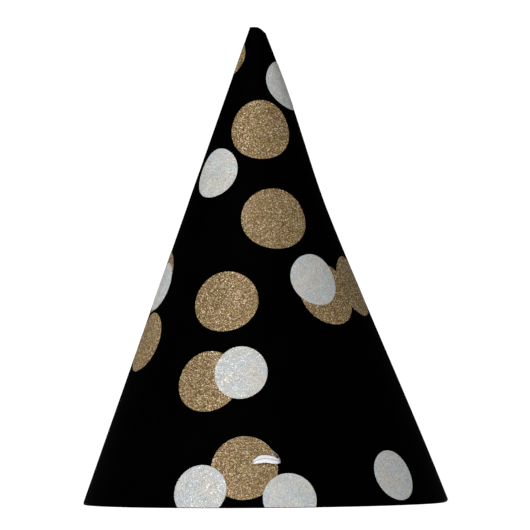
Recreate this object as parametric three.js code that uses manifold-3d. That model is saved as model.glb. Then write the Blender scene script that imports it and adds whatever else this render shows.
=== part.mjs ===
// A party hat: one sheet of printed card rolled into a cone, closed by an adhesive strip in its
// overlap, with a flat white chin elastic that is threaded through a pair of slits at the front
// and another at the back, and knotted inside.
// Millimetres, +Z up. The hat stands on its rim at z = 0, centred on the origin. The front slits
// face -Y, and azimuths are counted from there towards +X.

import * as THREE from "three";
import { mergeVertices } from "three/addons/utils/BufferGeometryUtils.js";
import Module from "manifold-3d";

const wasm = await Module();
wasm.setup();

// ---- Driving dimensions ----

// The rolled cone
const RIM_RADIUS = 63.5;
const HAT_HEIGHT = 165;
const TIP_RADIUS = 2.2;
const CARD_THICKNESS = 0.5;

// How this hand-rolled cone differs from a perfect one
const LEAN = 2; // the apex sits this far towards -X
const DENT_DEPTH = 2.5; // the +X side is flattened by this much
const DENT_RISE = [0, 105]; // the heights over which the flattening grows
const DENT_FADE = [100, 150]; // the heights over which it fades out again
const TIP_DROP = 3; // the tip's edge runs this much lower on the +X side
const TIP_DROP_POWER = 3; // a higher power keeps more of the edge at full height

// The overlap of the sheet's two ends
const OUTER_END_AZIMUTH = 99 * THREE.MathUtils.DEG2RAD;
const OVERLAP = 18 * THREE.MathUtils.DEG2RAD;
const LAP_RAMP = 18 * THREE.MathUtils.DEG2RAD; // the arc over which the under end steps inwards

// The adhesive strip between the two ends
const TAPE_WIDTH = 5;
const TAPE_THICKNESS = 0.15;
const TAPE_GAP = 0.1; // on each face of the strip
const TAPE_SLANTS = [75, 174]; // its ends, measured down the slant from the apex

// The slits for the elastic, and where each pair sits
const SLIT_HEIGHT = 15;
const SLIT_RADIUS = 5; // the outer edges of a pair lie on one circle
const SLIT_ANGLES = [-40, 58]; // the ends of each slit on that circle, above the horizontal
const SLIT_WIDTH = 1.5;
const PAIR_AZIMUTHS = { front: 0, back: Math.PI };

// The elastic
const ELASTIC_WIDTH = 2.8;
const ELASTIC_THICKNESS = 0.7;
const ELASTIC_EDGE = 0.25; // how far the band's long edges are rounded off
const STITCH_LEAN = 0.1; // how far the band tilts to follow a slit, as a slope
const KNOT_RADII = [3.2, 2.6, 2.4];
const KNOT_CENTRE = [0, -1.6, -8]; // in the frame of a pair of slits

// How finely the curved pieces are faceted
const CARD_STEP = 4.5 * THREE.MathUtils.DEG2RAD;
const CARD_ROWS = 8;
const TAPE_SEGMENTS = { across: 2, along: 8 };
const CRESCENT_SEGMENTS = 8;
const STITCH_STEPS = 30;
const CHIN_STEPS = 78;

// ---- Values that follow from them ----

const HALF_ANGLE = Math.atan((RIM_RADIUS - TIP_RADIUS) / HAT_HEIGHT);
const APEX_HEIGHT = RIM_RADIUS / Math.tan(HALF_ANGLE);
const RIM_SLANT = RIM_RADIUS / Math.sin(HALF_ANGLE);
const TIP_SLANT = TIP_RADIUS / Math.sin(HALF_ANGLE);
const UNDER_DEPTH = CARD_THICKNESS + TAPE_THICKNESS + 2 * TAPE_GAP;
const UNDER_END_AZIMUTH = OUTER_END_AZIMUTH - OVERLAP;

// ---- The route of the free elastic ----

// From the front knot the band drops to the surface, winds across the inside of the rim, and
// climbs to the back knot.
const CHIN_ROUTE = [
  [0, -48.6, 8.0],
  [0.1, -46.6, 5.4],
  [0.8, -43.4, 2.6],
  [2.8, -38.8, 0.9],
  [8, -33.5, 0.5],
  [19, -29.5, 0.5],
  [33, -26, 0.5],
  [45, -16, 0.5],
  [49, 0, 0.5],
  [42, 14, 0.5],
  [28, 19, 0.5],
  [13, 13, 0.5],
  [0, 0, 0.5],
  [-13, -13, 0.5],
  [-28, -20, 0.5],
  [-43, -16, 0.5],
  [-51, -2, 0.5],
  [-47, 13, 0.5],
  [-34, 22, 0.5],
  [-19, 27, 0.5],
  [-8, 32.5, 0.5],
  [-2.4, 38.8, 0.9],
  [-0.6, 43.4, 2.6],
  [0, 46.6, 5.4],
  [0, 48.6, 8.0],
];

// ---- The shape of the cone ----

// How far the side is pushed in at an azimuth and height.
function dentAt(azimuth, z) {
  const facing = Math.max(0, Math.sin(azimuth)) ** 2;
  const grown = THREE.MathUtils.smoothstep(z, ...DENT_RISE);
  const faded = THREE.MathUtils.smoothstep(z, ...DENT_FADE);
  return DENT_DEPTH * facing * grown * (1 - faded);
}

// The point on the cone at an azimuth and a distance down the slant from the apex, some depth
// below the outer face. Depth runs level, so every depth of the rim lies at one height.
function onCone(azimuth, slant, depth) {
  const z = APEX_HEIGHT - slant * Math.cos(HALF_ANGLE);
  const outer = slant * Math.sin(HALF_ANGLE) - dentAt(azimuth, z);
  const radius = outer - depth / Math.cos(HALF_ANGLE);
  const shift = (LEAN * z) / APEX_HEIGHT;
  return new THREE.Vector3(radius * Math.sin(azimuth) - shift, -radius * Math.cos(azimuth), z);
}

// The same for a point of the flat sheet, x down the middle ray and y across it.
function rolledUp(x, y, middleAzimuth, depth) {
  const azimuth = middleAzimuth + Math.atan2(y, x) / Math.sin(HALF_ANGLE);
  return onCone(azimuth, Math.hypot(x, y), depth);
}

// Where the sheet ends at the tip, down the slant from the apex.
function tipEdge(azimuth) {
  const share = (1 + Math.sin(azimuth)) / 2;
  return TIP_SLANT + TIP_DROP * share ** TIP_DROP_POWER;
}

// How far the sheet's outer face lies below the cone: it steps under the other end at the overlap.
function lapDepth(azimuth) {
  const top = OUTER_END_AZIMUTH;
  return UNDER_DEPTH * (1 - THREE.MathUtils.smoothstep(azimuth, top, top + LAP_RAMP));
}

// The placement of a pair of slits: x across, y up the slant and z out of the card.
function pairMatrix(azimuth) {
  const slant = (APEX_HEIGHT - SLIT_HEIGHT) / Math.cos(HALF_ANGLE);
  const place = onCone(azimuth, slant, 0);
  const matrix = new THREE.Matrix4().makeTranslation(place);
  matrix.multiply(new THREE.Matrix4().makeRotationZ(azimuth));
  return matrix.multiply(new THREE.Matrix4().makeRotationX(Math.PI / 2 - HALF_ANGLE));
}

// ---- Geometry helpers ----

// A box of the given segments whose corners, from 0 to 1 each way, are moved by place.
function bentBox(segmentsU, segmentsV, place) {
  const geometry = new THREE.BoxGeometry(1, 1, 1, segmentsU, segmentsV, 1);
  geometry.translate(0.5, 0.5, 0.5);
  const points = geometry.getAttribute("position");
  for (let i = 0; i < points.count; i++) {
    const { x, y, z } = place(points.getX(i), points.getY(i), points.getZ(i));
    points.setXYZ(i, x, y, z);
  }
  return geometry;
}

function toSolid(geometry) {
  const bare = geometry.clone();
  bare.deleteAttribute("normal");
  bare.deleteAttribute("uv");
  const merged = mergeVertices(bare, 1e-5);
  return new wasm.Manifold(
    new wasm.Mesh({
      numProp: 3,
      vertProperties: new Float32Array(merged.getAttribute("position").array),
      triVerts: new Uint32Array(merged.index.array),
    }),
  );
}

function toGeometry(solid) {
  const { vertProperties, triVerts } = solid.getMesh();
  const geometry = new THREE.BufferGeometry();
  geometry.setAttribute("position", new THREE.BufferAttribute(vertProperties, 3));
  geometry.setIndex(new THREE.BufferAttribute(triVerts, 1));
  geometry.computeVertexNormals();
  return geometry;
}

// A smooth route for a flat band, whose width lies along widthAt(point, tangent).
class RibbonPath extends THREE.CatmullRomCurve3 {
  constructor(points, widthAt) {
    super(points, false, "centripetal");
    this.widthAt = widthAt;
  }

  computeFrenetFrames(segments) {
    const frames = { tangents: [], normals: [], binormals: [] };
    for (let i = 0; i <= segments; i++) {
      const point = this.getPointAt(i / segments);
      const tangent = this.getTangentAt(i / segments);
      const normal = this.widthAt(point, tangent).projectOnPlane(tangent).normalize();
      frames.tangents.push(tangent);
      frames.normals.push(normal);
      frames.binormals.push(new THREE.Vector3().crossVectors(tangent, normal));
    }
    return frames;
  }
}

// The elastic's flat section, with its edges rounded off, swept along a route.
function ribbonGeometry(path, steps) {
  const halfWidth = ELASTIC_WIDTH / 2;
  const halfThickness = ELASTIC_THICKNESS / 2;
  const flatWidth = halfWidth - ELASTIC_EDGE;
  const flatEdge = halfThickness - ELASTIC_EDGE;
  const section = new THREE.Shape([
    new THREE.Vector2(halfWidth, -flatEdge),
    new THREE.Vector2(halfWidth, flatEdge),
    new THREE.Vector2(flatWidth, halfThickness),
    new THREE.Vector2(-flatWidth, halfThickness),
    new THREE.Vector2(-halfWidth, flatEdge),
    new THREE.Vector2(-halfWidth, -flatEdge),
    new THREE.Vector2(-flatWidth, -halfThickness),
    new THREE.Vector2(flatWidth, -halfThickness),
  ]);
  return new THREE.ExtrudeGeometry(section, { steps, extrudePath: path });
}

// ---- The pieces ----

// One crescent slit on the right of its pair, or the left with side -1, as a block to cut with.
function slitCutter(side) {
  const [low, high] = SLIT_ANGLES.map((angle) => angle * THREE.MathUtils.DEG2RAD);
  const middle = (low + high) / 2;
  const chord = SLIT_RADIUS * Math.cos((high - low) / 2);
  const reach = 2 * (SLIT_RADIUS - SLIT_WIDTH) - chord;
  const shape = new THREE.Shape();
  shape.absarc(0, 0, SLIT_RADIUS, low, high, false);
  shape.quadraticCurveTo(
    reach * Math.cos(middle),
    reach * Math.sin(middle),
    SLIT_RADIUS * Math.cos(low),
    SLIT_RADIUS * Math.sin(low),
  );
  const outline = shape.getPoints(CRESCENT_SEGMENTS).map((p) => new THREE.Vector2(side * p.x, p.y));
  const depth = 8 * CARD_THICKNESS;
  const block = new THREE.ExtrudeGeometry(new THREE.Shape(outline), { depth, bevelEnabled: false });
  return block.translate(0, 0, -depth / 2);
}

function coneCard() {
  const segments = Math.round((2 * Math.PI + OVERLAP) / CARD_STEP);
  const sheet = bentBox(segments, CARD_ROWS, (u, v, w) => {
    const azimuth = UNDER_END_AZIMUTH + u * (2 * Math.PI + OVERLAP);
    const slant = THREE.MathUtils.lerp(RIM_SLANT, tipEdge(azimuth), v);
    return onCone(azimuth, slant, lapDepth(azimuth) + (1 - w) * CARD_THICKNESS);
  });
  let solid = toSolid(sheet);
  for (const azimuth of Object.values(PAIR_AZIMUTHS)) {
    for (const side of [1, -1]) {
      const cutter = slitCutter(side).applyMatrix4(pairMatrix(azimuth));
      solid = solid.subtract(toSolid(cutter));
    }
  }
  return toGeometry(solid);
}

function seamTape() {
  const { across, along } = TAPE_SEGMENTS;
  const middle = OUTER_END_AZIMUTH - OVERLAP / 2;
  const top = CARD_THICKNESS + TAPE_GAP;
  return bentBox(across, along, (u, v, w) => {
    const x = THREE.MathUtils.lerp(TAPE_SLANTS[1], TAPE_SLANTS[0], v);
    return rolledUp(x, (u - 0.5) * TAPE_WIDTH, middle, top + (1 - w) * TAPE_THICKNESS);
  });
}

// The elastic's stitch, in the frame of its pair: from the knot out of one slit, across the front
// of the card in a low arch, and back through the other slit.
function stitchBand() {
  const rightHalf = [
    [4.15, 0.2, -0.3],
    [4.1, 0.2, -2.1],
    [2.9, -0.4, -4.1],
    [1.3, -1.1, -5.2],
  ];
  const arch = [
    [-3.75, 0.45, 0.95],
    [-2.1, 1.0, 1.4],
    [0, 1.3, 1.55],
    [2.1, 1.0, 1.4],
    [3.75, 0.45, 0.95],
  ];
  const leftHalf = rightHalf.map(([x, y, z]) => [-x, y, z]).reverse();
  const points = [...leftHalf, ...arch, ...rightHalf].map((p) => new THREE.Vector3(...p));
  const slitReach = rightHalf[0][0];
  const widthAt = (point) => new THREE.Vector3((-STITCH_LEAN * point.x) / slitReach, 1, 0);
  return ribbonGeometry(new RibbonPath(points, widthAt), STITCH_STEPS);
}

function knotBody() {
  const ball = new THREE.SphereGeometry(1, 12, 8);
  return ball.scale(...KNOT_RADII).translate(...KNOT_CENTRE);
}

// The free elastic lies flat: its width is level and square to its route.
function chinBand() {
  const points = CHIN_ROUTE.map((p) => new THREE.Vector3(...p));
  const up = new THREE.Vector3(0, 0, 1);
  const widthAt = (point, tangent) => new THREE.Vector3().crossVectors(up, tangent);
  return ribbonGeometry(new RibbonPath(points, widthAt), CHIN_STEPS);
}

// ---- Materials and assembly ----

const finishes = {
  printedCard: { color: 0x060606, roughness: 0.45, metalness: 0 },
  adhesive: { color: 0xe8e2d0, roughness: 0.35, metalness: 0 },
  elastic: { color: 0xf2f1ee, roughness: 0.85, metalness: 0 },
};

function namedMesh(name, geometry, finish) {
  const mesh = new THREE.Mesh(geometry, new THREE.MeshStandardMaterial(finishes[finish]));
  mesh.name = name;
  return mesh;
}

const hat = new THREE.Group();
hat.add(namedMesh("cone_card", coneCard(), "printedCard"));
hat.add(namedMesh("seam_tape", seamTape(), "adhesive"));
hat.add(namedMesh("chin_elastic", chinBand(), "elastic"));
for (const [side, azimuth] of Object.entries(PAIR_AZIMUTHS)) {
  const pair = new THREE.Group();
  pair.applyMatrix4(pairMatrix(azimuth));
  pair.add(namedMesh(`${side}_stitch`, stitchBand(), "elastic"));
  pair.add(namedMesh(`${side}_knot`, knotBody(), "elastic"));
  hat.add(pair);
}

export default hat;
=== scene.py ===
"""A card party hat with glitter-printed dots and a flat white chin elastic, dressed over its CAD frame."""

import math

import bpy
import numpy as np
from mathutils import Matrix, Vector
from mathutils.geometry import delaunay_2d_cdt


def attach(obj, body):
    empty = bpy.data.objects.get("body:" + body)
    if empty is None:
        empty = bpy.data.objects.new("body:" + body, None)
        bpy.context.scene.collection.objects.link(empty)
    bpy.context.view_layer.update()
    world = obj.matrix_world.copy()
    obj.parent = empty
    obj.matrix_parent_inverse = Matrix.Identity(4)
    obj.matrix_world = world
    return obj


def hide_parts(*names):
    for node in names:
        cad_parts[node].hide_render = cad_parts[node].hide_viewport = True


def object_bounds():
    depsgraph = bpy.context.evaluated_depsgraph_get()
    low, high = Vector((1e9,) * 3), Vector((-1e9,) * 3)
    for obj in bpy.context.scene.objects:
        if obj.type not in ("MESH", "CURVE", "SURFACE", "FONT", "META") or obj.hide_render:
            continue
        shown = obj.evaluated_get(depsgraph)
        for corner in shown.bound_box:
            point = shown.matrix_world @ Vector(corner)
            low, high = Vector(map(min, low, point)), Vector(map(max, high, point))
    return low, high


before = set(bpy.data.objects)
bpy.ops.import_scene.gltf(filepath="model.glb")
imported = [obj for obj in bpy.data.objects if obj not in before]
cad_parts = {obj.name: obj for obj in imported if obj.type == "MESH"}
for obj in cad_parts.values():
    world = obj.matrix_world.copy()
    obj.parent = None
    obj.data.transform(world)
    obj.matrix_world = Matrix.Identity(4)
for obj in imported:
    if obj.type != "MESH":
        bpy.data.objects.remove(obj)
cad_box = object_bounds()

MM = 0.001


def smoothstep(value, low, high):
    share = np.clip((value - low) / (high - low), 0, 1)
    return share * share * (3 - 2 * share)


def in_scene(name, data):
    """A new object of that data, linked into the scene."""
    made = bpy.data.objects.new(name, data)
    bpy.context.scene.collection.objects.link(made)
    return made


# ---- The cone, in millimetres and degrees, as the CAD part has it ----

RIM_RADIUS = cad_box[1].x / MM
HAT_HEIGHT = cad_box[1].z / MM
TIP_RADIUS = 2.2
CARD_THICKNESS = 0.5
LEAN = 2.0
DENT_DEPTH = 2.5  # the +X side is flattened by this much
DENT_GROWS = (0, 105)  # heights
DENT_FADES = (100, 150)
TIP_DROP = 2.1  # the tip's edge runs this much lower on the +X side
TIP_DROP_POWER = 5.2  # a higher power keeps more of the edge at full height

SEAM_AZIMUTH = 99.0
OUTER_END = SEAM_AZIMUTH + 360
UNDER_END = 81.0
LAP_RAMP = 18.0  # the sheet comes out from under its other end over this many degrees
UNDER_DEPTH = 0.85
FLAP_LIFT = 0.25  # the outer end springs up from the seam by this much
FLAP_LIFT_ARC = 7.0

HALF_ANGLE = math.atan((RIM_RADIUS - TIP_RADIUS) / HAT_HEIGHT)
APEX_HEIGHT = RIM_RADIUS / math.tan(HALF_ANGLE)
RIM_SLANT = RIM_RADIUS / math.sin(HALF_ANGLE)
TIP_SLANT = TIP_RADIUS / math.sin(HALF_ANGLE)

RIM_TUCKS = ((86, 0.9), (-86, 0.35))  # where the rim is rubbed inwards, and how far
TUCK_ARC = 24  # each tuck fades out this many degrees to its sides
TUCK_HEIGHT = 1.1

# ---- The slits and the elastic, in millimetres ----

SLIT_HEIGHT = 15.0
# Each slit: its pair, its side, the centre and radius of its arc, the angles it spans, and its gap
SLITS = (
    ("front", 1, (-0.9, -0.2), 5.6, 5.0, 62.0, 0.85),
    ("front", -1, (2.3, 0.7), 2.4, -20.0, 20.0, 0.9),
    ("back", 1, (-0.45, 0.7), 5.0, -8.0, 7.0, 0.35),
    ("back", -1, (-0.45, 0.7), 5.0, -8.0, 7.0, 0.35),
)
SLIT_SKEW = 0.45  # below 1, a slit gapes widest near its lower end, where the band runs
SLIT_LIP = 0.07  # the white edge where the print has cracked along the cut
PAIR_AZIMUTHS = {"front": 360.6, "back": 180.0}

ELASTIC_WIDTH = 2.8
ELASTIC_THICKNESS = 0.7
STITCH_LEAN = 0.2  # how far the stitch's width tips from up the slant towards -X
BUNCHED_ASIDE = (2.2, 4.5)  # the band bunches up between these distances from a stitch's middle
BUNCHED_INSIDE = (-1.0, 0.2)  # and is bunched all across below the first of these heights
BUNCHED_SWELL = 0.1  # the share by which its thickness grows there
KNOT_CENTRE = (0.0, -1.6, -8.0)
KNOT_SIZE = (1.08, 0.8, -0.78)
KNOT_TURN = 1.72  # how far the knot's curve is followed either way
KNOT_POINTS = 25
KNOT_WIDTH = 1.7
KNOT_THICKNESS = 1.15
LEG = (-1.3, -1.1, -5.2)  # where the stitch ends and the knot's strand starts
TAIL_ACROSS = (0.3, 1.0, -0.4)
TAIL_END = (0.6, 1.0)  # the shares of its length where the tail spreads out
TAIL_WIDTH = 1.6
TAIL_SPREAD = 1.2
TAIL_THICKNESS = 1.1
TAIL_THINNING = 0.4
CHIN_END_WIDTH = 1.8
CHIN_END_THICKNESS = 1.0
CHIN_END_LENGTH = 5

# The free elastic's route from the front knot to the back knot
CHIN_ROUTE = (
    (0, -48.6, 8.0),
    (0.1, -46.6, 5.4),
    (0.8, -43.4, 2.6),
    (2.8, -38.8, 0.9),
    (8, -33.5, 0.5),
    (19, -29.5, 0.5),
    (33, -26, 0.5),
    (45, -16, 0.5),
    (49, 0, 0.5),
    (42, 14, 0.5),
    (28, 19, 0.5),
    (13, 13, 0.5),
    (0, 0, 0.5),
    (-13, -13, 0.5),
    (-28, -20, 0.5),
    (-43, -16, 0.5),
    (-51, -2, 0.5),
    (-47, 13, 0.5),
    (-34, 22, 0.5),
    (-19, 27, 0.5),
    (-8, 32.5, 0.5),
    (-2.4, 38.8, 0.9),
    (-0.6, 43.4, 2.6),
    (0, 46.6, 5.4),
    (0, 48.6, 8.0),
)

# The stitch's route in the frame of its slits: x across, y up the slant, z out of the card
STITCH_ROUTE = (
    LEG,
    (-2.9, 0.2, -4.1),
    (-3.95, 1.2, -2.1),
    (-4.25, 0.65, -0.3),
    (-3.7, 0.6, 0.75),
    (-2.1, 1.05, 1.35),
    (-0.3, 1.15, 1.5),
    (2.0, 0.8, 1.35),
    (3.65, 0.55, 0.75),
    (4.15, 0.95, -0.3),
    (3.95, 1.2, -2.1),
    (2.9, 0.2, -4.1),
    (1.3, -1.1, -5.2),
)
# The cut tail's route in the same frame, from the stitch's other leg through the knot
TAIL_ROUTE = (
    (1.3, -1.1, -5.2),
    (0.7, -1.3, -6.6),
    (0.1, -1.6, -8.2),
    (1.0, -2.6, -9.8),
    (2.9, -3.9, -10.9),
)
STITCH_WIDTH = 2.65  # the band narrows a little where it is pulled tight
STITCH_PINCH = {"front": 0.5, "back": 0.6}  # the share of its width that it keeps in a slit

# ---- The printed dots: (azimuth, distance down the slant from the apex, radius, height over width) ----

GOLD_DOTS = (
    (3.6, 44.45, 10.75, 1.01),
    (11, 77.3, 11.75, 0.94),
    (-19.5, 107.5, 11.6, 0.94),
    (40, 105.2, 11.8, 0.94),
    (70, 102.3, 11.7, 0.94),
    (-72, 122.3, 11.3, 0.95),
    (-23.5, 136.55, 11.3, 0.97),
    (-7, 167.9, 11.55, 0.99),
    (-99.3, 18.4, 6.2, 0.97),
    (-83.5, 100.5, 11.8, 0.94),
    (112, 66, 11.5, 0.94),
    (108, 145, 11.5, 0.94),
    (137, 108, 11.5, 0.94),
    (160, 80, 11.5, 0.94),
    (165, 143, 11.5, 0.94),
    (186, 112, 11.5, 0.94),
    (199, 169, 11.5, 0.94),
    (178, 41, 11.5, 0.94),
    (222, 139, 11.5, 0.94),
    (243, 66, 11.5, 0.94),
)
SILVER_DOTS = (
    (73.3, 28.2, 9.1, 0.99),
    (-46, 60.3, 9.1, 0.99),
    (-77.5, 102, 8.8, 0.99),
    (32.5, 99.8, 9.4, 0.99),
    (-9.5, 133.4, 9.2, 1.03),
    (-21.4, 176.2, 9.5, 0.99),
    (7.6, 179.1, 9.2, 1.0),
    (47.7, 171.4, 9.1, 0.99),
    (104, 110, 9.3, 0.99),
    (122, 134, 9.3, 0.99),
    (152, 180, 9.3, 0.99),
    (148, 58, 9.3, 0.99),
    (197, 78, 9.3, 0.99),
    (203, 132, 9.3, 0.99),
    (229, 106, 9.3, 0.99),
    (247, 150, 9.3, 0.99),
)
RIM_MARGIN = 0.27  # the dots stop this far from the cut edge
DOT_LIFT = 0.02  # the ink's underside above the card
INK_THICKNESS = 0.03
LAYER_STEP = 0.05  # silver is printed over gold

# ---- How finely the pieces are made ----

CARD_COLUMNS = 252
CARD_ROW = 2.0
PRINT_COLUMNS = 240
TUCK_ROWS = (1.0, 0.7, 0.45)  # shares of the tuck's height
DOT_OUTLINE = 96
DOT_GRID = 1.2
SLIT_POINTS = 16
TIP_CLEARANCE = 0.3  # inner points keep this far from the tip's edge
CARD_CLEARANCE = 0.35  # and this far from the other outlines
DOT_CLEARANCE = 0.3
CARD_SHARP_ANGLE = 35
ROUTE_STEPS = 80  # points of a curve between two given ones, before they are spaced evenly
STRAND_SPACING = 0.14
CHIN_SPACING = 0.3
STITCH_SECTION = 88  # points around a band
STRAND_SECTION = 48
CHIN_SECTION = 60
WEAVE_SHARP_ANGLE = 70

# ---- How the weave and the glitter are drawn, in millimetres ----

RIBS = 6
RIB_DEPTH = 0.3  # a share of the band's half thickness, like the next
STITCH_DEPTH = 0.12
STITCH_PITCH = 1.1
RIB_ROUNDNESS = 0.7
BAND_ROUNDNESS = 0.6
FLAKE_SIZE = 0.28
FINE_FLAKE_SIZE = 0.18
COARSE_SHARE = 0.62  # the coarse flakes' share in the tone
FLAKE_TILT = 0.35
GLITTER_PATCH = 3.4
BLACK_GLOSS = 0.004
BLACK_TONES = ((0.3, (0.0002, 0.0002, 0.0002)), (0.7, (0.0004, 0.0004, 0.0004)))
BOARD_TONES = ((0.3, (0.66, 0.65, 0.62)), (0.5, (0.76, 0.755, 0.73)), (0.72, (0.83, 0.825, 0.81)))
FILM_TONES = ((0.35, (0.62, 0.6, 0.5)), (0.65, (0.74, 0.72, 0.64)))

# Each ink's tones, from its darkest flakes to its brightest
GOLD_TONES = (
    (0.1, (0.085, 0.048, 0.014)),
    (0.4, (0.17, 0.103, 0.035)),
    (0.6, (0.26, 0.171, 0.069)),
    (0.76, (0.49, 0.355, 0.19)),
    (0.92, (0.96, 0.86, 0.67)),
)
SILVER_TONES = (
    (0.05, (0.38, 0.385, 0.38)),
    (0.4, (0.515, 0.52, 0.505)),
    (0.7, (0.62, 0.62, 0.6)),
    (0.95, (0.86, 0.86, 0.84)),
)
# Each ink's drift of tint, by a noise of the size given
GOLD_TINTS = (
    (0.38, (0.42, 0.53, 0.2)),
    (0.5, (0.5, 0.5, 0.46)),
    (0.64, (0.72, 0.5, 0.85)),
)
GOLD_TINT_SIZE = 1.5
SILVER_TINTS = (
    (0.38, (0.25, 0.5, 0.8)),
    (0.5, (0.48, 0.54, 0.48)),
    (0.62, (0.8, 0.52, 0.25)),
)
SILVER_TINT_SIZE = 5.0


def dent_at(azimuth, z):
    facing = np.maximum(0, np.sin(azimuth)) ** 2
    return DENT_DEPTH * facing * smoothstep(z, *DENT_GROWS) * (1 - smoothstep(z, *DENT_FADES))


def on_cone(degrees, slant, depth):
    """Points in metres at azimuths and slants, some depth below the cone, as the CAD part has them."""
    azimuth = np.radians(degrees)
    z = APEX_HEIGHT - slant * math.cos(HALF_ANGLE)
    radius = slant * math.sin(HALF_ANGLE) - dent_at(azimuth, z) - depth / math.cos(HALF_ANGLE)
    x = radius * np.sin(azimuth) - LEAN * z / APEX_HEIGHT
    return np.stack([x, -radius * np.cos(azimuth), z], axis=-1) * MM


def sheet_depth(degrees):
    """How deep the sheet's outer face lies: under the other end at its start, sprung up at its end."""
    under = UNDER_DEPTH * (1 - smoothstep(degrees, SEAM_AZIMUTH, SEAM_AZIMUTH + LAP_RAMP))
    lifted = FLAP_LIFT * smoothstep(degrees, OUTER_END - FLAP_LIFT_ARC, OUTER_END) ** 2
    return under - lifted


def rim_tuck(degrees, slant):
    """How far the card's edge is rubbed inwards at the sides of the rim."""
    share = np.clip(1 - (RIM_SLANT - slant) / TUCK_HEIGHT, 0, 1) ** 2
    depth = np.zeros(len(degrees))
    for middle, deepest in RIM_TUCKS:
        aside = np.abs((degrees - middle + 180) % 360 - 180)
        depth += deepest * (1 - smoothstep(aside, 0, TUCK_ARC))
    return depth * share


def tip_edge(degrees):
    share = (1 + np.sin(np.radians(degrees))) / 2
    return TIP_SLANT + TIP_DROP * share**TIP_DROP_POWER


# ---- The flat sheet: the cone unrolled about its apex ----


def to_flat(degrees, slant):
    angle = np.radians(degrees) * math.sin(HALF_ANGLE)
    return np.stack([slant * np.cos(angle), slant * np.sin(angle)], axis=-1)


def from_flat(points):
    """The azimuth in degrees and the slant of points of the flat sheet."""
    angle = np.arctan2(points[:, 1], points[:, 0])
    return np.degrees(angle / math.sin(HALF_ANGLE)), np.hypot(points[:, 0], points[:, 1])


def ring(count):
    turn = np.arange(count) * 2 * math.pi / count
    return np.stack([np.cos(turn), np.sin(turn)], axis=-1)


def round_patch(centre, radius, proportion, points):
    """Points of a unit disc laid on the flat sheet about a centre, with its height over its width."""
    down = centre / np.hypot(*centre)
    across = np.array([-down[1], down[0]])
    return centre + radius * (proportion * points[:, :1] * down + points[:, 1:] * across)


def within(outline, points):
    """Which points lie inside a closed outline, by counting its crossings to their right."""
    inside = np.zeros(len(points), bool)
    for (x0, y0), (x1, y1) in zip(outline, np.roll(outline, -1, axis=0)):
        spans = (y0 > points[:, 1]) != (y1 > points[:, 1])
        if spans.any():
            crossing = x0 + (points[:, 1] - y0) * (x1 - x0) / (y1 - y0)
            inside ^= spans & (points[:, 0] < crossing)
    return inside


def cut_flat(inside, outside, marks, grid, clearance):
    """Points and triangles of the flat region inside some outlines and outside others.

    Triangles never cross an outline, nor one of the marks.
    """
    outlines = [*inside, *outside, *marks]
    corners = np.concatenate(outlines)
    nearest = np.full(len(grid), np.inf)
    for corner in corners:
        nearest = np.minimum(nearest, np.hypot(*(grid - corner).T))
    points = np.concatenate([corners, grid[nearest > clearance]])
    edges, start = [], 0
    for outline in outlines:
        count = len(outline)
        edges += [(start + i, start + (i + 1) % count) for i in range(count)]
        start += count
    found = delaunay_2d_cdt([Vector(p) for p in points], edges, [], 0, 1e-7)
    made, triangles = np.array(found[0]), np.array(found[2])
    middles = made[triangles].mean(axis=1)
    kept = np.ones(len(triangles), bool)
    for outline in inside:
        kept &= within(outline, middles)
    for outline in outside:
        kept &= ~within(outline, middles)
    used, renumbered = np.unique(triangles[kept], return_inverse=True)
    return made[used], renumbered.reshape(-1, 3)


def blank_outline():
    """The card's flat blank, without its slits."""
    around = np.linspace(UNDER_END, OUTER_END, CARD_COLUMNS + 1)
    rows = int(RIM_SLANT / CARD_ROW)
    rim = to_flat(around, np.full_like(around, RIM_SLANT))
    tip = to_flat(around, tip_edge(around))
    side = np.linspace(0, 1, rows + 1)[1:-1, None]
    return np.concatenate([
        rim,
        rim[-1] + (tip[-1] - rim[-1]) * side,
        tip[::-1],
        tip[0] + (rim[0] - tip[0]) * side,
    ])


def shown_outline():
    """The part of the blank that takes print: all but the end under the seam and a sliver at the rim."""
    around = np.linspace(SEAM_AZIMUTH, OUTER_END, PRINT_COLUMNS + 1)
    rim = to_flat(around, np.full_like(around, RIM_SLANT - RIM_MARGIN))
    tip = to_flat(around, tip_edge(around))
    return np.concatenate([rim, tip[::-1]])


def slit_outline(pair, side, centre, radius, low, high, gap, margin):
    """One slit in the flat sheet, or with a margin the outline of its cracked lip."""
    share = np.linspace(0, 1, SLIT_POINTS)
    arc = np.radians(low + (high - low) * share)
    towards = np.stack([np.cos(arc), np.sin(arc)], axis=-1)
    outer = centre + radius * towards
    inner = outer - gap * np.sin(math.pi * share**SLIT_SKEW)[:, None] * towards
    outline = np.concatenate([outer, inner[-2:0:-1]])
    ahead, behind = np.roll(outline, -1, axis=0), np.roll(outline, 1, axis=0)
    along = ahead - behind
    along /= np.hypot(*along.T)[:, None]
    outline = outline + margin * np.stack([along[:, 1], -along[:, 0]], axis=-1)
    across, up = side * outline[:, 0], outline[:, 1]
    slant = (APEX_HEIGHT - SLIT_HEIGHT) / math.cos(HALF_ANGLE)
    place = to_flat(PAIR_AZIMUTHS[pair], slant)
    towards_apex = -place / slant
    sideways = np.array([towards_apex[1], -towards_apex[0]])
    return place + across[:, None] * sideways + up[:, None] * towards_apex


def every_slit(margin):
    return [slit_outline(*slit, margin) for slit in SLITS]


# ---- Mesh helpers ----


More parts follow.
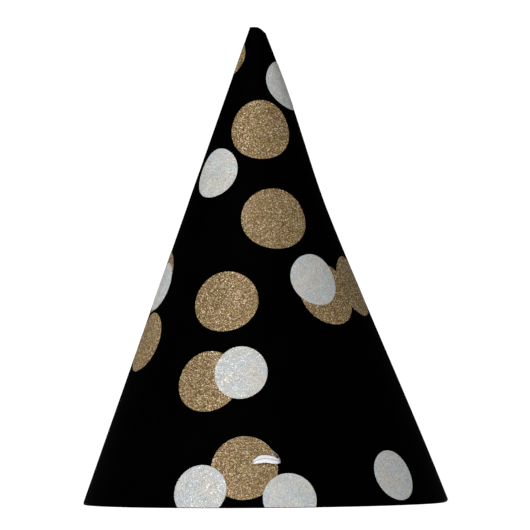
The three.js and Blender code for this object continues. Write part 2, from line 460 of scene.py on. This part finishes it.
def thick_sheet(name, flat, triangles, top, bottom, materials, top_slots=None):
    """A rolled sheet with the given depths of its two faces, closed by walls along its edges."""
    degrees, slant = from_flat(flat)
    count = len(flat)
    points = np.concatenate([on_cone(degrees, slant, top), on_cone(degrees, slant, bottom)])
    sides = np.concatenate([triangles[:, [0, 1]], triangles[:, [1, 2]], triangles[:, [2, 0]]])
    known = set(map(tuple, sides.tolist()))
    border = [(a, b) for a, b in known if (b, a) not in known]
    border.sort()
    walls = [(b, a, a + count, b + count) for a, b in border]
    faces = [tuple(t) for t in triangles.tolist()]
    faces += [tuple(t) for t in (triangles[:, ::-1] + count).tolist()]
    mesh = bpy.data.meshes.new(name)
    mesh.from_pydata(points.tolist(), [], faces + walls)
    for material in materials:
        mesh.materials.append(material)
    slots = np.full(len(mesh.polygons), len(materials) - 1)
    slots[: len(triangles)] = 0 if top_slots is None else top_slots
    mesh.polygons.foreach_set("material_index", slots.astype(np.int32))
    mesh.polygons.foreach_set("use_smooth", [True] * len(mesh.polygons))
    mesh.update()
    mesh.set_sharp_from_angle(angle=math.radians(CARD_SHARP_ANGLE))
    return in_scene(name, mesh)


# ---- Routes and bands ----


def lengths_along(route):
    return np.concatenate([[0], np.cumsum(np.linalg.norm(np.diff(route, axis=0), axis=1))])


def smooth_route(points, spacing):
    """The centripetal Catmull-Rom curve through the points, as points about that far apart."""
    given = np.array(points, float)
    padded = np.vstack([2 * given[0] - given[1], given, 2 * given[-1] - given[-2]])
    gaps = np.linalg.norm(np.diff(padded, axis=0), axis=1) ** 0.5
    t = np.linspace(0, 1, ROUTE_STEPS, endpoint=False)[:, None]
    spans = []
    for i in range(1, len(padded) - 2):
        p0, p1, p2, p3 = padded[i - 1 : i + 3]
        g0, g1, g2 = gaps[i - 1 : i + 2]
        leave = g1 * ((p1 - p0) / g0 - (p2 - p0) / (g0 + g1) + (p2 - p1) / g1)
        reach = g1 * ((p2 - p1) / g1 - (p3 - p1) / (g1 + g2) + (p3 - p2) / g2)
        spans.append(
            (2 * t**3 - 3 * t**2 + 1) * p1
            + (t**3 - 2 * t**2 + t) * leave
            + (3 * t**2 - 2 * t**3) * p2
            + (t**3 - t**2) * reach
        )
    dense = np.vstack([*spans, given[-1:]])
    along = lengths_along(dense)
    even = np.linspace(0, along[-1], int(round(along[-1] / spacing)) + 1)
    return np.stack([np.interp(even, along, dense[:, k]) for k in range(3)], axis=-1)


def unit(vectors):
    return vectors / np.linalg.norm(vectors, axis=-1, keepdims=True)


def band_mesh(route, across, width, thickness, section_points):
    """Points, faces and weave coordinates of a flat braided band along a route, all in millimetres.

    Its face has lengthwise ribs, and each rib a row of stitches that slant against the next rib's.
    """
    tangent = unit(np.gradient(route, axis=0))
    across = across - (across * tangent).sum(axis=1, keepdims=True) * tangent
    across = unit(across)
    out = np.cross(across, tangent)
    along = lengths_along(route)[:, None]
    turn = np.arange(section_points) * 2 * math.pi / section_points
    side = np.cos(turn)
    rib = (side + 1) / 2 * RIBS
    ridge = np.abs(np.sin(math.pi * rib)) ** RIB_ROUNDNESS
    slant = np.where(np.floor(rib).astype(int) % 2 == 0, 1, -1)
    stitches = np.cos(2 * math.pi * (along / STITCH_PITCH + slant * (rib % 1) * 0.5))
    swell = 1 - RIB_DEPTH * (1 - ridge) + STITCH_DEPTH * stitches * ridge
    half_width = np.broadcast_to(width, along.shape[:1])[:, None] / 2
    half_thickness = np.broadcast_to(thickness, along.shape[:1])[:, None] / 2
    u = half_width * side
    v = half_thickness * np.sign(np.sin(turn)) * np.abs(np.sin(turn)) ** BAND_ROUNDNESS * swell
    points = route[:, None] + across[:, None] * u[..., None] + out[:, None] * v[..., None]
    weave = np.stack([np.broadcast_to(along, u.shape), u, v], axis=-1)
    rows, count = u.shape
    first = np.arange(rows - 1)[:, None] * count
    near = first + np.arange(count)
    far = first + (np.arange(count) + 1) % count
    quads = np.stack([near, near + count, far + count, far], axis=-1).reshape(-1, 4)
    caps = [tuple(range(count)), tuple(range(rows * count - 1, (rows - 1) * count - 1, -1))]
    return points.reshape(-1, 3), [tuple(q) for q in quads.tolist()] + caps, weave.reshape(-1, 3)


def woven_piece(name, parts, material):
    """One piece from several strands, each as band_mesh makes it."""
    points, faces, weave, start = [], [], [], 0
    for part_points, part_faces, part_weave in parts:
        points.append(part_points)
        weave.append(part_weave)
        faces += [tuple(start + i for i in face) for face in part_faces]
        start += len(part_points)
    mesh = bpy.data.meshes.new(name)
    mesh.from_pydata((np.vstack(points) * MM).tolist(), [], faces)
    mesh.materials.append(material)
    mesh.polygons.foreach_set("use_smooth", [True] * len(mesh.polygons))
    stored = mesh.attributes.new("weave", "FLOAT_VECTOR", "POINT")
    stored.data.foreach_set("vector", np.vstack(weave).astype(np.float32).ravel())
    mesh.update()
    mesh.set_sharp_from_angle(angle=math.radians(WEAVE_SHARP_ANGLE))
    return in_scene(name, mesh)


def pair_matrix(name):
    """The frame of a pair of slits, in millimetres: x across, y up the slant, z out of the card."""
    azimuth = PAIR_AZIMUTHS[name]
    slant = np.array([(APEX_HEIGHT - SLIT_HEIGHT) / math.cos(HALF_ANGLE)])
    place = Matrix.Translation(Vector(on_cone(azimuth, slant, 0)[0] / MM))
    turn = Matrix.Rotation(math.radians(azimuth), 4, "Z")
    tilt = Matrix.Rotation(math.pi / 2 - HALF_ANGLE, 4, "X")
    return np.array(place @ turn @ tilt)


def placed(matrix, points):
    return np.asarray(points) @ matrix[:3, :3].T + matrix[:3, 3]


def directed(matrix, vectors):
    return np.asarray(vectors) @ matrix[:3, :3].T


# ---- Materials ----


def new_material(name):
    made = bpy.data.materials.new(name)
    made.use_nodes = True
    tree = made.node_tree
    return made, tree, tree.nodes["Principled BSDF"]


def fill(tree, socket, value):
    """Gives an input a value, or links another node's output to it."""
    if isinstance(value, bpy.types.NodeSocket):
        tree.links.new(value, socket)
    else:
        socket.default_value = value


def add(tree, kind, inputs=None, **settings):
    """A node with its settings, and its inputs given as values or as other nodes' outputs."""
    node = tree.nodes.new(kind)
    for key, value in settings.items():
        setattr(node, key, value)
    for key, value in (inputs or {}).items():
        fill(tree, node.inputs[key], value)
    return node


def feed(tree, node, **inputs):
    for key, value in inputs.items():
        fill(tree, node.inputs[key.replace("_", " ")], value)


def vector_sums(tree, operation, inputs):
    return add(tree, "ShaderNodeVectorMath", inputs, operation=operation).outputs["Vector"]


def in_place(tree):
    """A piece's own coordinates in millimetres."""
    here = add(tree, "ShaderNodeTexCoord").outputs["Object"]
    return vector_sums(tree, "SCALE", {0: here, "Scale": 1 / MM})


def sums(tree, operation, first, second=0.0, third=0.0):
    return add(tree, "ShaderNodeMath", {0: first, 1: second, 2: third}, operation=operation).outputs[0]


def remap(tree, value, low, high, to_low, to_high):
    inputs = {"Value": value, "From Min": low, "From Max": high, "To Min": to_low, "To Max": to_high}
    return add(tree, "ShaderNodeMapRange", inputs).outputs["Result"]


def noise(tree, where, size, detail):
    """Noise whose features are about that many millimetres across."""
    inputs = {"Vector": where, "Scale": 1 / size, "Detail": detail}
    return add(tree, "ShaderNodeTexNoise", inputs).outputs["Fac"]


def cells(tree, where, size):
    """A Voronoi cell pattern, its cells about that many millimetres across."""
    return add(tree, "ShaderNodeTexVoronoi", {"Vector": where, "Scale": 1 / size})


def ramp(tree, value, stops):
    node = add(tree, "ShaderNodeValToRGB", {"Fac": value})
    elements = node.color_ramp.elements
    while len(elements) < len(stops):
        elements.new(0.5)
    for element, (position, colour) in zip(elements, stops):
        element.position = position
        element.color = (*colour, 1)
    return node.outputs["Color"]


def blend_colour(tree, share, first, second, blend_type="MIX"):
    node = add(tree, "ShaderNodeMix", data_type="RGBA", blend_type=blend_type)
    for number, value in ((0, share), (6, first), (7, second)):
        fill(tree, node.inputs[number], value)
    return node.outputs[2]


def bumped(tree, height, distance, strength):
    inputs = {"Height": height, "Distance": distance * MM, "Strength": strength}
    return add(tree, "ShaderNodeBump", inputs).outputs["Normal"]


def glitter(name, tones, tints, tint_size, grain_tint, patch_tint, patch_share, sparkle):
    """Printed glitter: flakes that each have their own tone, tint, gloss and tilt, over soft patches."""
    made, tree, shader = new_material(name)
    where = in_place(tree)
    coarse = cells(tree, where, FLAKE_SIZE)
    fine = cells(tree, where, FINE_FLAKE_SIZE)
    chosen = add(tree, "ShaderNodeSeparateColor", {0: coarse.outputs["Color"]}).outputs
    grain = add(tree, "ShaderNodeSeparateColor", {0: fine.outputs["Color"]}).outputs
    tone = sums(tree, "MULTIPLY", chosen[0], COARSE_SHARE)
    tone = sums(tree, "MULTIPLY_ADD", grain[0], 1 - COARSE_SHARE, tone)
    shift = sums(tree, "SUBTRACT", noise(tree, where, GLITTER_PATCH, 3.0), 0.5)
    tone = sums(tree, "MULTIPLY_ADD", shift, patch_share, tone)
    colour = ramp(tree, tone, tones)
    tinted = blend_colour(tree, grain_tint, colour, fine.outputs["Color"], "SOFT_LIGHT")
    drift = ramp(tree, noise(tree, where, tint_size, 3.0), tints)
    tinted = blend_colour(tree, patch_tint, tinted, drift, "SOFT_LIGHT")
    feed(tree, shader, Base_Color=tinted, Specular_IOR_Level=0.2)
    feed(tree, shader, Metallic=remap(tree, chosen[1], 0.78, 0.86, 0.0, sparkle))
    feed(tree, shader, Roughness=remap(tree, chosen[1], 0.6, 0.9, 0.65, 0.3))
    tilt = vector_sums(tree, "SUBTRACT", {0: coarse.outputs["Color"], 1: (0.5, 0.5, 0.5)})
    tilt = vector_sums(tree, "SCALE", {0: tilt, "Scale": FLAKE_TILT})
    facing = add(tree, "ShaderNodeNewGeometry").outputs["Normal"]
    tilted = vector_sums(tree, "ADD", {0: facing, 1: tilt})
    feed(tree, shader, Normal=vector_sums(tree, "NORMALIZE", {0: tilted}))
    return made


def black_print(name):
    """A dense matt black print on card, worn through to the board in specks along the rim."""
    made, tree, shader = new_material(name)
    where = in_place(tree)
    tooth = noise(tree, where, 0.22, 4.0)
    cloud = noise(tree, where, 9.0, 2.0)
    height = add(tree, "ShaderNodeSeparateXYZ", {0: where}).outputs["Z"]
    near_rim = remap(tree, height, 0.0, 0.3, 0.3, 0.0)
    worn = sums(tree, "ADD", noise(tree, where, 0.6, 3.0), near_rim)
    worn = remap(tree, worn, 0.86, 0.9, 0.0, 1.0)
    colour = blend_colour(tree, worn, ramp(tree, cloud, BLACK_TONES), (0.4, 0.39, 0.37, 1))
    feed(tree, shader, Base_Color=colour, Normal=bumped(tree, tooth, 0.03, 0.5))
    feed(tree, shader, Roughness=remap(tree, tooth, 0.3, 0.7, 0.5, 0.66))
    feed(tree, shader, Specular_IOR_Level=BLACK_GLOSS)
    return made


def bare_card(name):
    """Uncoated white board with a fibrous mottle."""
    made, tree, shader = new_material(name)
    where = in_place(tree)
    fibres = noise(tree, where, 0.35, 5.0)
    cloud = noise(tree, where, 2.4, 3.0)
    mixed = sums(tree, "MULTIPLY_ADD", fibres, 0.45, sums(tree, "MULTIPLY", cloud, 0.55))
    feed(tree, shader, Base_Color=ramp(tree, mixed, BOARD_TONES), Roughness=0.85)
    feed(tree, shader, Normal=bumped(tree, fibres, 0.04, 0.6), Specular_IOR_Level=0.25)
    return made


def elastic(name):
    """White braided elastic: fine yarns, grooves between the ribs greyed as painted shade, and a lilac line
    midway.
    """
    made, tree, shader = new_material(name)
    weave = add(tree, "ShaderNodeAttribute", attribute_name="weave").outputs["Vector"]
    parts = add(tree, "ShaderNodeSeparateXYZ", {0: weave}).outputs
    yarns = add(tree, "ShaderNodeTexWave", {"Vector": weave, "Scale": 1.3, "Distortion": 1.2, "Detail": 1.0},
                wave_type="BANDS", bands_direction="DIAGONAL").outputs["Fac"]
    rib = sums(tree, "MULTIPLY", parts["Y"], RIBS / ELASTIC_WIDTH)
    # The grooves between the ribs are greyed here: painted shade.
    groove_painted_shade = sums(tree, "PINGPONG", sums(tree, "ADD", rib, 0.5 * (RIBS % 2)), 0.5)
    groove_painted_shade = remap(tree, groove_painted_shade, 0.0, 0.2, 1.0, 0.0)
    fuzz = noise(tree, weave, 0.12, 3.0)
    light = blend_colour(tree, yarns, (0.86, 0.86, 0.88, 1), (0.95, 0.95, 0.95, 1))
    colour = blend_colour(tree, sums(tree, "MULTIPLY", groove_painted_shade, 0.5), light, (0.62, 0.62, 0.68, 1))
    midway = remap(tree, sums(tree, "ABSOLUTE", parts["Y"]), 0.08, 0.3, 0.8, 0.0)
    colour = blend_colour(tree, midway, colour, (0.42, 0.4, 0.53, 1))
    height = sums(tree, "MULTIPLY_ADD", fuzz, 0.5, yarns)
    feed(tree, shader, Base_Color=colour, Roughness=0.82, Specular_IOR_Level=0.2)
    feed(tree, shader, Sheen_Weight=0.25, Sheen_Roughness=0.5)
    feed(tree, shader, Normal=bumped(tree, height, 0.05, 0.7))
    return made


def clear_tape(name):
    """The strip of double-sided adhesive inside the seam: a milky film with trapped bubbles."""
    made, tree, shader = new_material(name)
    where = in_place(tree)
    bubbles = cells(tree, where, 1.1).outputs["Distance"]
    wrinkles = noise(tree, where, 2.0, 4.0)
    pale = ramp(tree, wrinkles, FILM_TONES)
    spotted = blend_colour(tree, remap(tree, bubbles, 0.1, 0.2, 0.35, 0.0), pale, (0.85, 0.84, 0.8, 1))
    feed(tree, shader, Base_Color=spotted, Roughness=remap(tree, wrinkles, 0.3, 0.7, 0.25, 0.45))
    feed(tree, shader, Normal=bumped(tree, sums(tree, "ADD", bubbles, wrinkles), 0.05, 0.5))
    return made


# ---- The inks, the board, the yarn and the film ----

black_ink = black_print("black_print")
board = bare_card("bare_card")
gold_ink = glitter(
    "gold_glitter",
    GOLD_TONES,
    GOLD_TINTS,
    GOLD_TINT_SIZE,
    grain_tint=0.14,
    patch_tint=0.3,
    patch_share=0.06,
    sparkle=0.4,
)
silver_ink = glitter(
    "silver_glitter",
    SILVER_TONES,
    SILVER_TINTS,
    SILVER_TINT_SIZE,
    grain_tint=0.2,
    patch_tint=0.2,
    patch_share=0.3,
    sparkle=0.25,
)
yarn = elastic("white_elastic")
tape_film = clear_tape("seam_tape_film")

# ---- The camera ----

CAMERA_DISTANCE = 3.0  # in metres, like the next three
CAMERA_HEIGHT = 0.0825
CAMERA_ASIDE = 0.0004
VIEW_WIDTH = 0.18373  # how much the frame spans at the hat
CAMERA_ROLL = -0.47
SENSOR_WIDTH = 36

camera_data = bpy.data.cameras.new("camera")
camera_data.sensor_width = SENSOR_WIDTH
camera_data.lens = SENSOR_WIDTH * CAMERA_DISTANCE / VIEW_WIDTH
camera = in_scene("camera", camera_data)
camera.matrix_world = (
    Matrix.Translation((CAMERA_ASIDE, -CAMERA_DISTANCE, CAMERA_HEIGHT))
    @ Matrix.Rotation(math.pi / 2, 4, "X")
    @ Matrix.Rotation(math.radians(CAMERA_ROLL), 4, "Z")
)
bpy.context.scene.camera = camera

# ---- The elastic: its two stitches, their knots and the free band between them ----

stitches, knots = [], []
for pair in PAIR_AZIMUTHS:
    matrix = pair_matrix(pair)
    local = smooth_route(STITCH_ROUTE, STRAND_SPACING)
    lean = np.tile((-STITCH_LEAN, 1.0, 0.0), (len(local), 1))
    outside = smoothstep(local[:, 2], *BUNCHED_INSIDE)
    bunched = smoothstep(np.abs(local[:, 0]), *BUNCHED_ASIDE) * outside
    bunched = np.maximum(bunched, 1 - outside)
    width = STITCH_WIDTH * (1 - (1 - STITCH_PINCH[pair]) * bunched)
    thickness = ELASTIC_THICKNESS * (1 + BUNCHED_SWELL * bunched)
    made = band_mesh(placed(matrix, local), directed(matrix, lean), width, thickness, STITCH_SECTION)
    stitch = woven_piece(f"{pair}_stitch_band", [made], yarn)
    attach(stitch, "root")
    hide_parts(f"{pair}_stitch")
    stitches.append(stitch)

    # The strand that ties the knot runs from one leg of the stitch to the free band
    turn = np.linspace(-KNOT_TURN, KNOT_TURN, KNOT_POINTS)
    loops = np.stack([
        KNOT_SIZE[0] * (turn**3 - 3 * turn),
        KNOT_SIZE[1] * (turn**4 - 4 * turn**2 + 2),
        KNOT_SIZE[2] * (turn**5 / 5 - 2 * turn),
    ], axis=-1) + KNOT_CENTRE
    inverse = np.linalg.inv(matrix)
    chin_end = placed(inverse, CHIN_ROUTE[0] if pair == "front" else CHIN_ROUTE[-1])
    tying = smooth_route([LEG, *loops, chin_end], STRAND_SPACING)
    tying_across = directed(matrix, np.cross(tying - KNOT_CENTRE, np.gradient(tying, axis=0)))
    tied = band_mesh(placed(matrix, tying), tying_across, KNOT_WIDTH, KNOT_THICKNESS, STRAND_SECTION)
    # The other leg runs through the knot and ends in a cut tail
    tail = smooth_route(TAIL_ROUTE, STRAND_SPACING)
    tail_across = directed(matrix, np.tile(TAIL_ACROSS, (len(tail), 1)))
    spread = smoothstep(np.linspace(0, 1, len(tail)), *TAIL_END)
    tail_width = TAIL_WIDTH + TAIL_SPREAD * spread
    tail_thickness = TAIL_THICKNESS - TAIL_THINNING * spread
    cut = band_mesh(placed(matrix, tail), tail_across, tail_width, tail_thickness, STRAND_SECTION)
    knot = woven_piece(f"{pair}_knot_tied", [tied, cut], yarn)
    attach(knot, "root")
    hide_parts(f"{pair}_knot")
    knots.append(knot)

chin = smooth_route(CHIN_ROUTE, CHIN_SPACING)
chin_along = lengths_along(chin)
spread = smoothstep(np.minimum(chin_along, chin_along[-1] - chin_along), 0, CHIN_END_LENGTH)
chin_width = CHIN_END_WIDTH + (ELASTIC_WIDTH - CHIN_END_WIDTH) * spread
chin_thickness = CHIN_END_THICKNESS + (ELASTIC_THICKNESS - CHIN_END_THICKNESS) * spread
chin_across = np.cross((0, 0, 1), np.gradient(chin, axis=0))
chin_band = woven_piece(
    "chin_band",
    [band_mesh(chin, chin_across, chin_width, chin_thickness, CHIN_SECTION)],
    yarn,
)
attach(chin_band, "root")
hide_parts("chin_elastic")

# ---- The card ----

columns = np.linspace(UNDER_END, OUTER_END, CARD_COLUMNS + 1)[1:-1]
levels = np.arange(TIP_SLANT + 2 * TIP_CLEARANCE, RIM_SLANT - 1.5 * TUCK_HEIGHT, CARD_ROW)
levels = np.append(levels, RIM_SLANT - TUCK_HEIGHT * np.array(TUCK_ROWS))
grid_azimuth, grid_slant = (a.ravel() for a in np.meshgrid(columns, levels))
below_tip = grid_slant > tip_edge(grid_azimuth) + TIP_CLEARANCE
grid = to_flat(grid_azimuth[below_tip], grid_slant[below_tip])
slits, lips = every_slit(0), every_slit(SLIT_LIP)
flat, triangles = cut_flat([blank_outline()], slits, lips, grid, CARD_CLEARANCE)
middles = flat[triangles].mean(axis=1)
bare = np.zeros(len(triangles), bool)
for lip in lips:
    bare |= within(lip, middles)
azimuth, slant = from_flat(flat)
top = sheet_depth(azimuth) + rim_tuck(azimuth, slant)
card = thick_sheet("hat_card", flat, triangles, top, top + CARD_THICKNESS, [black_ink, board], bare)
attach(card, "root")
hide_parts("cone_card")

# ---- The printed dots ----

shown = shown_outline()
edge = ring(DOT_OUTLINE)
for kind, dots, ink, layer in (
    ("gold", GOLD_DOTS, gold_ink, 0),
    ("silver", SILVER_DOTS, silver_ink, 1),
):
    for number, (azimuth, slant, radius, proportion) in enumerate(dots, 1):
        centre = to_flat(azimuth if azimuth > SEAM_AZIMUTH else azimuth + 360, slant)
        steps = np.arange(-1, 1, DOT_GRID / radius)
        square = np.stack([a.ravel() for a in np.meshgrid(steps, steps)], axis=-1)
        square = square[np.hypot(*square.T) < 1 - 0.5 * DOT_GRID / radius]
        outline = round_patch(centre, radius, proportion, edge)
        inner = round_patch(centre, radius, proportion, square)
        flat, triangles = cut_flat([outline, shown], lips, [], inner, DOT_CLEARANCE)
        where, along = from_flat(flat)
        depth = sheet_depth(where) - DOT_LIFT - LAYER_STEP * layer
        dot = thick_sheet(f"{kind}_dot_{number:02d}", flat, triangles, depth - INK_THICKNESS, depth, [ink])
        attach(dot, "root")

# ---- The adhesive strip stays as the CAD has it ----

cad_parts["seam_tape"].material_slots[0].material = tape_film

# ---- Floor, light and background ----

FLOOR_GLOW = 0.95
FLOOR_DIFFUSE = 0.5
FLOOR_RADIUS = 1.6  # in metres, like the next
FLOOR_DEPTH = 0.00002  # just under the rim
FLOOR_POINTS = 96
UNDER_GLOW = (0.12, 0.005)  # the floor's glow under the hat, in the middle and near the rim: turned down as painted shade, with a faint painted glow in the middle that lights the inside
UNDER_GLOW_FADES = (20, 44)  # how far from the middle, in millimetres
SKY = 0.09
BACKDROP = 1.1
KEY_AZIMUTH = -29
KEY_ELEVATION = 32
KEY_DISTANCE = 2.0
KEY_SIZE = 1.2
KEY_POWER = 26.0
KEY_TARGET = (0, 0, 0.08)

floor_material, tree, shader = new_material("floor")
feed(tree, shader, Base_Color=(FLOOR_DIFFUSE,) * 3 + (1,), Roughness=0.9, Specular_IOR_Level=0.0)
out_from_middle = add(tree, "ShaderNodeVectorMath", {0: in_place(tree)}, operation="LENGTH").outputs["Value"]
# Under the hat the floor's glow is turned down as painted shade, except for a faint painted glow in the
# middle that lights the inside.
under_hat = remap(tree, out_from_middle, *UNDER_GLOW_FADES, *UNDER_GLOW)
covered = sums(tree, "LESS_THAN", out_from_middle, RIM_RADIUS - 1)
open_glow = sums(tree, "MULTIPLY", sums(tree, "SUBTRACT", 1.0, covered), FLOOR_GLOW)
glow = sums(tree, "MULTIPLY_ADD", covered, under_hat, open_glow)
feed(tree, shader, Emission_Color=(1, 1, 1, 1), Emission_Strength=glow)
clear = add(tree, "ShaderNodeBsdfTransparent")
behind = add(tree, "ShaderNodeNewGeometry").outputs["Backfacing"]
two_sided = add(tree, "ShaderNodeMixShader", {0: behind, 1: shader.outputs[0], 2: clear.outputs[0]})
tree.links.new(two_sided.outputs[0], tree.nodes["Material Output"].inputs["Surface"])
floor_edge = np.column_stack([FLOOR_RADIUS * ring(FLOOR_POINTS), np.full(FLOOR_POINTS, -FLOOR_DEPTH)])
floor_mesh = bpy.data.meshes.new("floor")
floor_mesh.from_pydata(floor_edge.tolist(), [], [tuple(range(FLOOR_POINTS))])
floor_mesh.materials.append(floor_material)
floor = in_scene("floor", floor_mesh)

world = bpy.data.worlds.new("world")
world.use_nodes = True
tree = world.node_tree
sky = tree.nodes["Background"]
sky.inputs["Color"].default_value = (1, 1, 1, 1)
sky.inputs["Strength"].default_value = SKY
backdrop = add(tree, "ShaderNodeBackground", {"Color": (1, 1, 1, 1), "Strength": BACKDROP})
seen = add(tree, "ShaderNodeLightPath").outputs["Is Camera Ray"]
both = add(tree, "ShaderNodeMixShader", {0: seen, 1: sky.outputs[0], 2: backdrop.outputs[0]})
tree.links.new(both.outputs[0], tree.nodes["World Output"].inputs["Surface"])
bpy.context.scene.world = world

key_data = bpy.data.lights.new("key", "AREA")
key_data.shape = "DISK"
key_data.size = KEY_SIZE
key_data.energy = KEY_POWER
key = in_scene("key", key_data)
turn, lift = math.radians(KEY_AZIMUTH), math.radians(KEY_ELEVATION)
towards = Vector((
    math.sin(turn) * math.cos(lift),
    -math.cos(turn) * math.cos(lift),
    math.sin(lift),
))
key.location = Vector(KEY_TARGET) + towards * KEY_DISTANCE
key.rotation_euler = towards.to_track_quat("Z", "Y").to_euler()

bpy.context.scene.view_settings.view_transform = "Standard"
bpy.context.view_layer.update()
